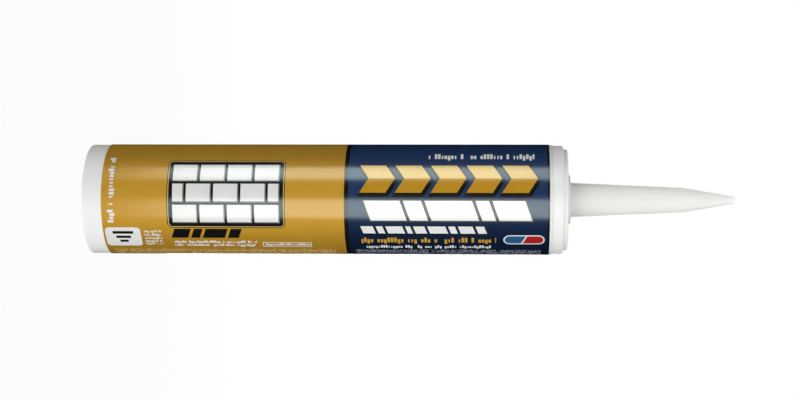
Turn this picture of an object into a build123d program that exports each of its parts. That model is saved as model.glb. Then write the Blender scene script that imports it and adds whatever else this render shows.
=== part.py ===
from build123d import *
import math
import os

# Construction adhesive cartridge of 10 fluid ounces, the size that a skeleton gun takes.
# It stands on its open rear rim, with its axis on +Z and its nozzle up. The origin is the
# centre of the rear rim. -Y is the front of the printed label, whose film laps at the back.
# All sizes are in millimetres.
#
# A white tube holds the paste between a plunger, which the gun's ram pushes, and a moulded
# head with its nozzle in one piece. A foil across the nozzle's inlet keeps the paste sealed
# until it is pierced. The nozzle's tip is closed until it is cut.

# Barrel: an extruded tube, cut square, with its rear edge eased
barrel_diameter = 49.8
barrel_wall = 1.3
barrel_length = 209.8
rear_edge_chamfer = 0.4
bore_chamfer = 0.2

# Label: one printed film, wrapped once over a line of glue and lapped over its own start
label_glue_line = 0.1
label_thickness = 0.1
label_rear_margin = 8.9
label_front_margin = 1.2
label_lap_width = 7.0
label_lap_ramp = 1.2

# Head: the skirt plugs into the barrel, and the collar seats on its end
skirt_clearance = 0.05
skirt_depth = 7.8
skirt_wall = 1.5
skirt_lead_in = 0.5
collar_setback = 0.3
collar_height = 5.3
collar_chamfer = 1.15

# Head: the front ring, the shallow trough inside it and the hub that carries the nozzle
ring_setback = 2.0
ring_height = 1.8
ring_chamfer = 0.6
ring_width = 2.7
trough_depth = 1.5
trough_draft = 0.5
plate_thickness = 2.0
cavity_chamfer = 1.2
hub_radius = 11.05
hub_height = 1.45
hub_chamfer = 0.5

# Nozzle: a long slow taper, then a steeper one to the closed tip
nozzle_base_radius = 7.75
nozzle_shoulder_radius = 5.55
nozzle_shaft_length = 51.0
nozzle_tip_radius = 1.45
nozzle_cone_length = 23.25
nozzle_wall = 1.4
nozzle_foot_chamfer = 0.6
tip_chamfer = 0.5
tip_wall = 1.8
tip_bore_radius = 0.6
inlet_flare = 3.3
inlet_depth = 4.0

# Foil across the inlet, sealed to the plate round it
seal_land = 1.4
seal_thickness = 0.2

# Plunger: a cup that slides in the barrel on two lips, with low ribs across its floor
plunger_recess = 19.9
plunger_clearance = 0.05
plunger_body_length = 13.0
plunger_wall = 1.3
plunger_floor = 1.5
lip_height = 2.4
lip_projection = 0.6
nose_clearance = 0.6
nose_height = 10.0
nose_chamfer = 1.2
rib_count = 8
rib_thickness = 1.1
rib_height = 3.5
boss_radius = 6.0
boss_wall = 1.2

# Paste: it fills the space from the plunger to the foil, a hair clear of both
paste_side_gap = 0.05
paste_end_gap = 0.3

barrel_radius = barrel_diameter / 2
bore_radius = barrel_radius - barrel_wall
film_inner_radius = barrel_radius + label_glue_line
label_radius = film_inner_radius + label_thickness

skirt_radius = bore_radius - skirt_clearance
cavity_radius = skirt_radius - skirt_wall
skirt_bottom = barrel_length - skirt_depth
collar_radius = barrel_radius - collar_setback
collar_top = barrel_length + collar_height
ring_radius = barrel_radius - ring_setback
face_z = collar_top + ring_height
trough_z = face_z - trough_depth
plate_z = trough_z - plate_thickness
hub_z = face_z + hub_height

inlet_radius = nozzle_base_radius - nozzle_wall
inlet_mouth_radius = inlet_radius + inlet_flare
nozzle_shoulder_z = hub_z + nozzle_shaft_length
nozzle_tip_z = nozzle_shoulder_z + nozzle_cone_length
shoulder_bore_radius = nozzle_shoulder_radius - nozzle_wall

seal_radius = inlet_mouth_radius + seal_land
seal_bottom = plate_z - seal_thickness

plunger_radius = bore_radius - plunger_clearance
plunger_waist_radius = plunger_radius - lip_projection
plunger_shoulder_z = plunger_recess + plunger_body_length
nose_radius = cavity_radius - nose_clearance
nose_top_z = plunger_shoulder_z + nose_height


def polar(radius, angle):
    """A point in the XY plane, with its angle in degrees from +X."""
    turn = math.radians(angle)
    return (radius * math.cos(turn), radius * math.sin(turn))


def turned(outline):
    """The solid that a closed outline of (radius, height) points sweeps round the axis."""
    section = make_face(Polyline(*outline, close=True))
    return revolve(Plane.XZ * section, Axis.Z)


def ring_edges(solid, radius, height):
    """The whole circles of a turned solid that have this radius at this height."""
    return [
        edge
        for edge in solid.edges().filter_by(GeomType.CIRCLE)
        if abs(edge.radius - radius) < 1e-4 and abs(edge.arc_center.Z - height) < 1e-4
    ]


def make_barrel():
    """The open tube, its rear edge eased outside and its bore chamfered for the plunger."""
    tube = turned(
        [
            (bore_radius, 0),
            (barrel_radius, 0),
            (barrel_radius, barrel_length),
            (bore_radius, barrel_length),
        ]
    )
    tube = chamfer(ring_edges(tube, barrel_radius, 0), rear_edge_chamfer)
    return chamfer(ring_edges(tube, bore_radius, 0), bore_chamfer)


def make_label():
    """The wrapped film: a full turn, with the lap's step on one side and its ramp on the other."""
    lap_angle = math.degrees(label_lap_width / label_radius)
    ramp_angle = math.degrees(label_lap_ramp / label_radius)
    lap_radius = label_radius + label_thickness
    step = 90 - lap_angle / 2
    crest = step + lap_angle
    foot = crest + ramp_angle
    inner = film_inner_radius
    lap = make_face(
        [
            Line(polar(inner, step), polar(lap_radius, step)),
            ThreePointArc(polar(lap_radius, step), polar(lap_radius, 90), polar(lap_radius, crest)),
            Line(polar(lap_radius, crest), polar(label_radius, foot)),
            Line(polar(label_radius, foot), polar(inner, foot)),
            ThreePointArc(polar(inner, foot), polar(inner, 90), polar(inner, step)),
        ]
    )
    film = Circle(label_radius) - Circle(inner) + lap
    height = barrel_length - label_rear_margin - label_front_margin
    return Pos(0, 0, label_rear_margin) * extrude(film, height)


def make_head():
    """The moulded head: skirt, collar, front ring, trough and hub, with its tapered nozzle."""
    trough_radius = ring_radius - ring_width
    body = turned(
        [
            (cavity_radius, skirt_bottom),
            (skirt_radius - skirt_lead_in, skirt_bottom),
            (skirt_radius, skirt_bottom + skirt_lead_in),
            (skirt_radius, barrel_length),
            (collar_radius, barrel_length),
            (collar_radius, collar_top),
            (ring_radius, collar_top),
            (ring_radius, face_z),
            (trough_radius, face_z),
            (trough_radius - trough_draft, trough_z),
            (hub_radius, trough_z),
            (hub_radius, hub_z),
            (nozzle_base_radius, hub_z),
            (nozzle_shoulder_radius, nozzle_shoulder_z),
            (nozzle_tip_radius, nozzle_tip_z),
            (0, nozzle_tip_z),
            (0, nozzle_tip_z - tip_wall),
            (tip_bore_radius, nozzle_tip_z - tip_wall),
            (shoulder_bore_radius, nozzle_shoulder_z),
            (inlet_radius, plate_z + inlet_depth),
            (inlet_mouth_radius, plate_z),
            (cavity_radius, plate_z),
        ]
    )
    for radius, height, size in (
        (collar_radius, collar_top, collar_chamfer),
        (ring_radius, face_z, ring_chamfer),
        (hub_radius, hub_z, hub_chamfer),
        (nozzle_base_radius, hub_z, nozzle_foot_chamfer),
        (nozzle_tip_radius, nozzle_tip_z, tip_chamfer),
        (cavity_radius, plate_z, cavity_chamfer),
    ):
        body = chamfer(ring_edges(body, radius, height), size)
    return body


def make_inner_seal():
    """The foil disc that lies on the head's plate across the nozzle's inlet."""
    return Pos(0, 0, seal_bottom) * extrude(Circle(seal_radius), seal_thickness)


def make_plunger():
    """The sliding cup: two lips on its body, a nose that nests in the head, and ribs behind."""
    rear = plunger_recess
    floor_z = nose_top_z - plunger_floor
    nose_bore = nose_radius - plunger_wall
    cup_radius = plunger_waist_radius - plunger_wall
    step_z = plunger_shoulder_z - plunger_floor
    plug = turned(
        [
            (0, rear),
            (plunger_radius, rear),
            (plunger_radius, rear + lip_height / 2),
            (plunger_waist_radius, rear + lip_height),
            (plunger_waist_radius, plunger_shoulder_z - lip_height),
            (plunger_radius, plunger_shoulder_z - lip_height / 2),
            (plunger_radius, plunger_shoulder_z),
            (nose_radius, plunger_shoulder_z),
            (nose_radius, nose_top_z),
            (0, nose_top_z),
        ]
    )
    plug = chamfer(ring_edges(plug, nose_radius, nose_top_z), nose_chamfer)
    hollow = turned(
        [
            (0, rear),
            (cup_radius, rear),
            (cup_radius, step_z),
            (nose_bore, step_z),
            (nose_bore, floor_z),
            (0, floor_z),
        ]
    )
    return plug - (hollow - make_plunger_web(nose_bore, floor_z))


def make_plunger_web(reach, top):
    """The round boss and its spokes, which stay standing where the plunger is hollow."""
    spoke = Pos(reach / 2, 0) * Rectangle(reach, rib_thickness)
    spokes = [Rot(0, 0, 360 * i / rib_count) * spoke for i in range(rib_count)]
    web = Circle(boss_radius) + spokes - Circle(boss_radius - boss_wall)
    return Pos(0, 0, top - rib_height) * extrude(web, rib_height)


def make_paste():
    """The fill, from just above the plunger to just under the foil, inside barrel and head."""
    side = bore_radius - paste_side_gap
    neck = cavity_radius - paste_side_gap
    top = seal_bottom - paste_end_gap
    nose = nose_radius + paste_end_gap
    return turned(
        [
            (nose, plunger_shoulder_z + paste_end_gap),
            (side, plunger_shoulder_z + paste_end_gap),
            (side, skirt_bottom - paste_end_gap),
            (neck, skirt_bottom - paste_end_gap),
            (neck, top - cavity_chamfer),
            (neck - cavity_chamfer, top),
            (0, top),
            (0, nose_top_z + paste_end_gap),
            (nose, nose_top_z + paste_end_gap),
        ]
    )


pieces = {
    "barrel": make_barrel(),
    "label_film": make_label(),
    "head_with_nozzle": make_head(),
    "inner_seal": make_inner_seal(),
    "plunger": make_plunger(),
    "adhesive_fill": make_paste(),
}

os.makedirs("parts", exist_ok=True)
for name, piece in pieces.items():
    export_step(piece, f"parts/{name}.step")

stroke = skirt_bottom - plunger_shoulder_z
print(f"fill {pieces['adhesive_fill'].volume / 1000:.1f} ml, plunger's full travel {stroke:.1f} mm")
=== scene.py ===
import logging
import math
from collections.abc import Callable, Sequence
from dataclasses import dataclass
from enum import Enum

import bmesh
import bpy
from mathutils import Matrix, Vector


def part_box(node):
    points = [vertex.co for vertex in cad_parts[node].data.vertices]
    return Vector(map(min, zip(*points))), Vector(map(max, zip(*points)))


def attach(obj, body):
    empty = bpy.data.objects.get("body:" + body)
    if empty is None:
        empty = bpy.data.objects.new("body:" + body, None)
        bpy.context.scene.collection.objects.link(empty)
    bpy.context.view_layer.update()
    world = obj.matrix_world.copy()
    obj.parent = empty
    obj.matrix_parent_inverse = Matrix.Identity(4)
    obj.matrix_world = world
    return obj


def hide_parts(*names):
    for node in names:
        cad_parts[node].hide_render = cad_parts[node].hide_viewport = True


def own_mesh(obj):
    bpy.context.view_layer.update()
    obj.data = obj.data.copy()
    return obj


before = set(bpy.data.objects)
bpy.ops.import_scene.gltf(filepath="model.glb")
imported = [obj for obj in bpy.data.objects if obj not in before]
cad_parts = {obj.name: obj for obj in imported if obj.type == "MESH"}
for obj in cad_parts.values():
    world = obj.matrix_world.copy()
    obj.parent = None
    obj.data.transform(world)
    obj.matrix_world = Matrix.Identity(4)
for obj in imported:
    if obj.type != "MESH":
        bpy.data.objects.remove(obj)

MM = 0.001
log = logging.getLogger("cartridge")

Colour = tuple[float, float, float]
Ring = tuple[float, float]
ShadeStop = tuple[float, float]
Socket = bpy.types.NodeSocket
Settings = dict[str, object]
Inputs = dict[int | str, object]


class Ink(Enum):
    """The colours that the film is printed with, as linear red, green and blue."""

    GOLD = (0.556, 0.302, 0.0285)
    PALE_GOLD = (0.76, 0.55, 0.20)
    DEEP_GOLD = (0.50, 0.26, 0.016)
    HAIRLINE = (0.60, 0.42, 0.15)
    NAVY = (0.0170, 0.043, 0.122)
    GREY = (0.28, 0.28, 0.27)
    BLACK = (0.006, 0.006, 0.005)
    OLIVE = (0.055, 0.053, 0.03)
    WHITE = (0.78, 0.78, 0.77)
    FAINT_GOLD = (0.72, 0.55, 0.24)
    FAINT_BLUE = (0.34, 0.37, 0.42)
    BLUE = (0.02, 0.10, 0.22)
    RED = (0.38, 0.016, 0.014)


class Grain(Enum):
    """How a plastic was formed, as the scale of its faint marks along each axis."""

    MOULDED = (0.25, 0.25, 1.0)
    EXTRUDED = (1.0, 1.0, 0.02)


class Value:
    """A number's socket, on which Python's operators add Math nodes."""

    def __init__(self, shader: "Shader", socket: Socket) -> None:
        """Wraps a socket of the material to which the maths is added."""
        self.shader = shader
        self.socket = socket

    def math(self, operation: str, *others: "Value | float", clamp: bool = False) -> "Value":
        """Adds one Math node, whose first input is this value."""
        settings = {"operation": operation, "use_clamp": clamp}
        return self.shader.number("ShaderNodeMath", settings, dict(enumerate((self, *others))))

    def swapped(self, operation: str, first: float) -> "Value":
        """Adds a Math node whose first input is a plain number and whose second is this value."""
        return self.shader.number("ShaderNodeMath", {"operation": operation}, {0: first, 1: self})

    def __add__(self, other: "Value | float") -> "Value":
        """This value plus another."""
        return self.math("ADD", other)

    def __radd__(self, other: float) -> "Value":
        """A number plus this value."""
        return self.swapped("ADD", other)

    def __sub__(self, other: "Value | float") -> "Value":
        """This value less another."""
        return self.math("SUBTRACT", other)

    def __rsub__(self, other: float) -> "Value":
        """A number less this value."""
        return self.swapped("SUBTRACT", other)

    def __mul__(self, other: "Value | float") -> "Value":
        """This value times another."""
        return self.math("MULTIPLY", other)

    def __rmul__(self, other: float) -> "Value":
        """A number times this value."""
        return self.swapped("MULTIPLY", other)

    def __truediv__(self, other: "Value | float") -> "Value":
        """This value divided by another."""
        return self.math("DIVIDE", other)

    def __or__(self, other: "Value") -> "Value":
        """The greater of two masks, which joins them."""
        return self.math("MAXIMUM", other)

    def __and__(self, other: "Value") -> "Value":
        """The product of two masks, which keeps what they share."""
        return self.math("MULTIPLY", other)

    def __abs__(self) -> "Value":
        """This value without its sign."""
        return self.math("ABSOLUTE")

    def floor(self) -> "Value":
        """The whole number below this value."""
        return self.math("FLOOR")

    def fraction(self) -> "Value":
        """What is left of this value above its whole number."""
        return self.math("FRACT")

    def clamped(self) -> "Value":
        """This value, kept between 0 and 1."""
        return self.math("ADD", 0.0, clamp=True)

    def cut(self, edge: float) -> "Value":
        """A mask of 1 where this value is above 0, which fades over the width of an edge."""
        return self.math("MULTIPLY_ADD", 1 / edge, 0.5, clamp=True)


class Shader:
    """One material's node tree, to which finishes add their nodes."""

    def __init__(self, name: str, tree: bpy.types.NodeTree | None = None) -> None:
        """Makes an empty tree.

        Args:
            name: The new material's name.
            tree: A tree to fill instead, such as the world's.
        """
        if tree is None:
            self.material = bpy.data.materials.new(name)
            self.material.use_nodes = True
            tree = self.material.node_tree
        self.tree = tree
        self.tree.nodes.clear()

    def node(
        self, kind: str, settings: Settings | None = None, inputs: Inputs | None = None
    ) -> bpy.types.Node:
        """Adds any node.

        Args:
            kind: The node's type, such as ShaderNodeTexNoise.
            settings: The node's own properties, which are set first. A ramp's stops are a list.
            inputs: What each socket takes, by its name or place: a value, a link or a constant.

        Returns:
            The node.
        """
        made = self.tree.nodes.new(kind)
        for name, setting in (settings or {}).items():
            if name == "stops":
                self.set_stops(made.color_ramp, setting)
            else:
                setattr(made, name, setting)
        for place, given in (inputs or {}).items():
            socket = made.inputs[place]
            if isinstance(given, Value):
                self.tree.links.new(given.socket, socket)
            elif isinstance(given, Socket):
                self.tree.links.new(given, socket)
            elif given is not None:
                socket.default_value = (*given, 1.0) if self.is_opaque(socket, given) else given
        return made

    @staticmethod
    def is_opaque(socket: Socket, given: object) -> bool:
        """Whether a colour of three parts goes to a socket that takes four."""
        return socket.type == "RGBA" and len(given) == 3

    @staticmethod
    def set_stops(ramp: bpy.types.ColorRamp, stops: Sequence[tuple[float, Colour]]) -> None:
        """Gives a new ramp its stops, each with its place from 0 to 1 and its colour."""
        while len(ramp.elements) < len(stops):
            ramp.elements.new(0.5)
        for element, (place, colour) in zip(ramp.elements, stops, strict=True):
            element.position = place
            element.color = (*colour, 1.0)

    def number(
        self,
        kind: str,
        settings: Settings | None = None,
        inputs: Inputs | None = None,
        output: int | str = 0,
    ) -> Value:
        """Adds a node and wraps one of its outputs as a number."""
        return Value(self, self.node(kind, settings, inputs).outputs[output])

    def place(self, scale: Colour = (1.0, 1.0, 1.0)) -> Socket:
        """The point on the piece in millimetres, scaled along each axis.

        Args:
            scale: The scales. A small one stretches a pattern.

        Returns:
            The mapped point.
        """
        source = self.node("ShaderNodeTexCoord").outputs["Object"]
        inputs = {"Vector": source, "Scale": tuple(part / MM for part in scale)}
        return self.node("ShaderNodeMapping", {"vector_type": "POINT"}, inputs).outputs[0]

    def noise(self, point: Socket, size: float, detail: float = 2.0, rough: float = 0.5) -> Value:
        """A soft noise from 0 to 1, with features of a size in the point's millimetres."""
        inputs = {"Vector": point, "Scale": 1 / size, "Detail": detail, "Roughness": rough}
        return self.number("ShaderNodeTexNoise", None, inputs)

    def blend(
        self,
        share: Value | float,
        under: Socket | Colour,
        over: Socket | Colour,
        way: str = "MIX",
    ) -> Socket:
        """Mixes two colours, by how much of the upper one shows and the node's blend type."""
        settings = {"data_type": "RGBA", "blend_type": way}
        return self.node("ShaderNodeMix", settings, {0: share, 6: under, 7: over}).outputs[2]

    def bump(self, height: Value, depth: float, under: Socket | None = None) -> Socket:
        """A normal from a height, where 1 stands for a depth in millimetres, laid on another."""
        inputs = {"Strength": 1.0, "Distance": depth * MM, "Height": height, "Normal": under}
        return self.node("ShaderNodeBump", None, inputs).outputs[0]

    def surface(self, kind: str = "ShaderNodeBsdfPrincipled", **sockets: object) -> Socket:
        """Adds a shader, whose sockets are named with underscores in place of spaces."""
        inputs = {name.replace("_", " "): given for name, given in sockets.items()}
        return self.node(kind, None, inputs).outputs[0]

    def mixed(self, share: Value | Socket, first: Socket, second: Socket) -> Socket:
        """Mixes two shaders, by how much of the second one shows."""
        return self.node("ShaderNodeMixShader", None, {0: share, 1: first, 2: second}).outputs[0]

    def finish(self, surface: Socket) -> bpy.types.Material:
        """Ends the tree with the shader that the material shows."""
        self.node("ShaderNodeOutputMaterial", None, {"Surface": surface})
        return self.material


@dataclass(frozen=True)
class Plastic:
    """White polyethylene, with the faint marks that its forming leaves. Sizes are millimetres."""

    name: str
    colour: Colour
    roughness: float
    grain: Grain
    wear: float = 0.08
    gloss: float = 0.3
    glow: float = 0.1
    glow_reach: Colour = (1.0, 0.95, 0.85)
    glow_depth: float = 4.0
    bloom: float = 0.0
    bloom_roughness: float = 0.45
    thin_share: float = 0.0
    thin_from: float = 0.0
    thin_run: float = 5.0
    see_through_colour: Colour = (0.97, 0.97, 0.96)
    shade_depth: float = 0.03
    cloud_size: float = 14.0
    mark_size: float = 0.9
    mark_depth: float = 0.012
    pebble_size: float = 0.22
    pebble_depth: float = 0.004

    def material(self) -> bpy.types.Material:
        """Makes the plastic.

        Returns:
            The material.
        """
        shader = Shader(self.name)
        point = shader.place()
        cloud = shader.noise(point, self.cloud_size, detail=3.0)
        drawn = shader.place(self.grain.value)
        marks = shader.noise(drawn, self.mark_size, detail=3.0, rough=0.6)
        pebble = shader.noise(point, self.pebble_size)
        dusk = tuple(part * (1 - self.shade_depth) for part in self.colour)
        normal = shader.bump(pebble, self.pebble_depth, shader.bump(marks, self.mark_depth))
        surface = shader.surface(
            Base_Color=shader.blend(cloud, dusk, self.colour),
            Roughness=self.roughness - self.wear / 2 + self.wear * cloud,
            Normal=normal,
            Specular_IOR_Level=self.gloss,
            Sheen_Weight=self.bloom,
            Sheen_Roughness=self.bloom_roughness,
            Subsurface_Weight=self.glow,
            Subsurface_Radius=self.glow_reach,
            Subsurface_Scale=self.glow_depth * MM,
        )
        if self.thin_share:
            height = Value(shader, shader.node("ShaderNodeSeparateXYZ", None, {0: point}).outputs[2])
            wall = ((height - self.thin_from) / self.thin_run).clamped()
            kind = "ShaderNodeBsdfTranslucent"
            thin = shader.surface(kind, Color=self.see_through_colour, Normal=normal)
            surface = shader.mixed(self.thin_share * wall, surface, thin)
        return shader.finish(surface)


@dataclass(frozen=True)
class Foil:
    """Rolled aluminium foil, the membrane across the nozzle's inlet. Sizes are millimetres."""

    name: str
    colour: Colour = (0.80, 0.80, 0.82)
    roughness: float = 0.24
    wear: float = 0.14
    roll_size: float = 0.4
    roll_depth: float = 0.01
    crease_size: float = 2.4
    crease_depth: float = 0.05

    def material(self) -> bpy.types.Material:
        """Makes the foil.

        Returns:
            The material.
        """
        shader = Shader(self.name)
        rolled = shader.noise(shader.place((1.0, 0.03, 1.0)), self.roll_size, detail=3.0)
        creased = shader.noise(shader.place(), self.crease_size, detail=4.0)
        surface = shader.surface(
            Base_Color=self.colour,
            Metallic=1.0,
            Roughness=self.roughness + self.wear * rolled,
            Normal=shader.bump(creased, self.crease_depth, shader.bump(rolled, self.roll_depth)),
        )
        return shader.finish(surface)


@dataclass(frozen=True)
class Paste:
    """The tan adhesive, smooth against the walls, with a little filler. Sizes are millimetres."""

    name: str
    colour: Colour = (0.48, 0.36, 0.22)
    speck: Colour = (0.33, 0.23, 0.13)
    speck_size: float = 0.5
    speck_from: float = 0.62
    speck_contrast: float = 6.0
    smear_size: float = 3.0
    smear_depth: float = 0.25
    roughness: float = 0.32
    wear: float = 0.2

    def material(self) -> bpy.types.Material:
        """Makes the paste.

        Returns:
            The material.
        """
        shader = Shader(self.name)
        filler = shader.noise(shader.place(), self.speck_size, detail=3.0)
        specks = ((filler - self.speck_from) * self.speck_contrast).clamped()
        smear = shader.noise(shader.place((1.0, 1.0, 0.2)), self.smear_size, detail=3.0)
        surface = shader.surface(
            Base_Color=shader.blend(specks, self.colour, self.speck),
            Roughness=self.roughness + self.wear * smear,
            Normal=shader.bump(smear, self.smear_depth),
        )
        return shader.finish(surface)


@dataclass(frozen=True)
class Area:
    """A stretch of the unrolled film: along the barrel, and round it towards the lower side."""

    low: float
    high: float
    top: float
    bottom: float

    @property
    def length(self) -> float:
        """How long the stretch is along the barrel."""
        return self.high - self.low

    @property
    def height(self) -> float:
        """How far the stretch goes round the barrel."""
        return self.bottom - self.top

    @property
    def centre(self) -> tuple[float, float]:
        """The stretch's middle, along the barrel and round it."""
        return (self.low + self.high) / 2, (self.top + self.bottom) / 2

    def grown(self, by: float) -> "Area":
        """The same stretch, larger all round."""
        return Area(self.low - by, self.high + by, self.top - by, self.bottom + by)

    def moved(self, along: float, down: float) -> "Area":
        """The same stretch in another place."""
        return Area(self.low + along, self.high + along, self.top + down, self.bottom + down)


class PrintPlate:
    """Prints plain shapes on the unrolled film, with masks from 0 to 1, in millimetres."""

    # Small marks: where the random number of each makes it tall, deep, a space or thin
    TALL_OVER = 0.68
    DEEP_UNDER = 0.14
    SPACE_AT = 0.25
    SPACE_REACH = 0.075
    THIN_AT = 0.52
    THIN_REACH = 0.08
    # Small marks: half widths as a share of the pitch, and heights as a share of the row
    HALF_WIDTH = 0.38
    THIN_LOSS = 0.16
    HALF_HEIGHT = 0.25
    EXTRA = 0.13
    MIDDLE = 0.54
    SOFT_END = 1 / 12
    ROW_SHIFT = 0.61
    GRID_INK = 0.85

    def __init__(self, shader: Shader, along: Value, round_it: Value, edge: float) -> None:
        """Starts a plate with no print.

        Args:
            shader: The film's nodes.
            along: The height above the film's rear edge.
            round_it: The arc from the front centre line.
            edge: The width over which an edge fades.
        """
        self.shader = shader
        self.along = along
        self.round_it = round_it
        self.edge = edge
        self.colour: Socket | Colour = Ink.WHITE.value

    def lay(self, mask: Value, ink: Ink | Socket) -> None:
        """Prints an ink, or a colour that other nodes give, over what is there."""
        over = ink.value if isinstance(ink, Ink) else ink
        self.colour = self.shader.blend(mask, self.colour, over)

    def band(self, across: Value, low: float, high: Value | float) -> Value:
        """The mask of a stripe, from the place across it, its start and its end."""
        return ((high - low) / 2 - abs(across - (high + low) / 2)).cut(self.edge)

    def slanted(self, slant: float, pivot: float) -> Value:
        """The place along the film, leaning like italic type from a place round the barrel."""
        return self.along + slant * (self.round_it - pivot)

    def box(self, area: Area) -> Value:
        """The mask of a block with square corners."""
        high = self.band(self.round_it, area.top, area.bottom)
        return self.band(self.along, area.low, area.high) & high

    def rounded(self, area: Area, corner: float) -> Value:
        """A block with round corners.

        Args:
            area: Its stretch of the film.
            corner: The corners' radius.

        Returns:
            The block's mask.
        """
        middle, level = area.centre
        out_along = abs(self.along - middle) - (area.length / 2 - corner)
        out_round = abs(self.round_it - level) - (area.height / 2 - corner)
        along = out_along.math("MAXIMUM", 0.0)
        round_it = out_round.math("MAXIMUM", 0.0)
        distance = (along * along + round_it * round_it).math("SQRT")
        return (corner - distance).cut(self.edge)

    def blocks(self, area: Area, lengths: Sequence[float], gap: float, slant: float) -> Value:
        """A row of leaning blocks.

        Args:
            area: The row's stretch of the film. The blocks start at its low end.
            lengths: Each block's length.
            gap: The space between two blocks.
            slant: How far their ends lean.

        Returns:
            The blocks' mask.
        """
        along = self.slanted(slant, area.centre[1])
        start = area.low
        row: Value | None = None
        for length in lengths:
            block = self.band(along, start, start + length)
            row = block if row is None else row | block
            start += length + gap
        return row & self.band(self.round_it, area.top, area.bottom)

    def bricks(self, area: Area, courses: int, length: float, joint: float) -> Value:
        """Courses of bricks in running bond.

        Args:
            area: The wall's stretch of the film.
            courses: How many courses it has.
            length: A brick's length, with its joint.
            joint: The joints' width.

        Returns:
            The bricks' mask.
        """
        course_height = area.height / courses
        level = (self.round_it - area.top) / course_height
        shift = level.floor().math("MODULO", 2.0) * 0.5
        across = ((self.along - area.low) / length + shift).fraction() * length
        brick = self.band(across, joint / 2, length - joint / 2)
        bed = self.band(level.fraction() * course_height, joint / 2, course_height - joint / 2)
        return brick & bed & self.box(area.grown(-joint / 2))

    def chevrons(
        self, area: Area, count: int, share: float, lean: float, grown: float = 0.0
    ) -> Value:
        """A row of chevrons that point to the nozzle.

        Args:
            area: The row's stretch of the film, from the first one's arms to the last one's tip.
            count: How many there are.
            share: How much of its pitch each one fills.
            lean: How far a tip stands ahead of its arms, for each millimetre of half height.
            grown: How much wider each is on every side, as for an outline.

        Returns:
            The chevrons' mask.
        """
        half = area.height / 2
        pitch = (area.length - lean * half) / (count - 1 + share)
        start = pitch * (1 - share) / 2
        off_centre = abs(self.round_it - area.centre[1])
        behind = self.along - (area.low + lean * half - start) + lean * off_centre
        across = (behind / pitch).fraction() * pitch
        arm = self.band(across, start - grown, pitch - start + grown)
        run = self.band(behind, start - grown, pitch * count - start + grown)
        return arm & run & (half + grown - off_centre).cut(self.edge)

    def type_grid(
        self, pitch: float, letter: float, seed: float, shift: Value | float = 0.0
    ) -> Value:
        """The mask of rows of small marks all over the film, for paragraphs that share a grid."""
        level = self.round_it / pitch
        return self.marks(self.along, level, level.floor() + seed + shift, letter, self.GRID_INK)

    def type_lines(
        self, area: Area, lines: int, letter: float, ink: float, seed: float, upright: bool = False
    ) -> Value:
        """Rows of small marks, which stand for lines of small type and spell nothing.

        Args:
            area: The paragraph's stretch of the film.
            lines: How many rows it has.
            letter: The marks' pitch.
            ink: How much of a row's height the marks fill.
            seed: Which row of random numbers they use.
            upright: Whether the rows run round the barrel.

        Returns:
            The marks' mask.
        """
        along = self.round_it if upright else self.along
        depth = self.along - area.low if upright else self.round_it - area.top
        level = depth / ((area.length if upright else area.height) / lines)
        return self.marks(along, level, level.floor() + seed, letter, ink) & self.box(area)

    def marks(self, along: Value, level: Value, row: Value, letter: float, ink: float) -> Value:
        """The marks of rows of small type.

        Args:
            along: The place along the rows.
            level: The place across them, which grows by 1 from row to row.
            row: The row's number.
            letter: The marks' pitch.
            ink: How much of a row's height they fill.

        Returns:
            The marks' mask.
        """
        cell = along / letter + row * self.ROW_SHIFT
        shape = self.chance(cell.floor(), row)
        tall = shape.math("GREATER_THAN", self.TALL_OVER)
        deep = shape.math("LESS_THAN", self.DEEP_UNDER)
        space = shape.math("COMPARE", self.SPACE_AT, self.SPACE_REACH)
        thin = self.THIN_LOSS * shape.math("COMPARE", self.THIN_AT, self.THIN_REACH)
        across = abs(cell.fraction() - 0.5)
        stroke = (self.HALF_WIDTH - thin - across).cut(self.edge / letter)
        middle = self.MIDDLE - self.EXTRA * tall + self.EXTRA * deep
        height = ink * (self.HALF_HEIGHT + self.EXTRA * (tall | deep))
        bar = (height - abs(level.fraction() - middle)).cut(self.SOFT_END)
        return stroke & bar & (1.0 - space)

    def chance(self, first: Value, second: Value) -> Value:
        """A random number from 0 to 1 for a pair of numbers, the same on every run.

        Args:
            first: One number of the pair.
            second: The other one.

        Returns:
            The random number.
        """
        pair = self.shader.node("ShaderNodeCombineXYZ", None, {0: first, 1: second}).outputs[0]
        settings = {"noise_dimensions": "2D"}
        return self.shader.number("ShaderNodeTexWhiteNoise", settings, {"Vector": pair})


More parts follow.
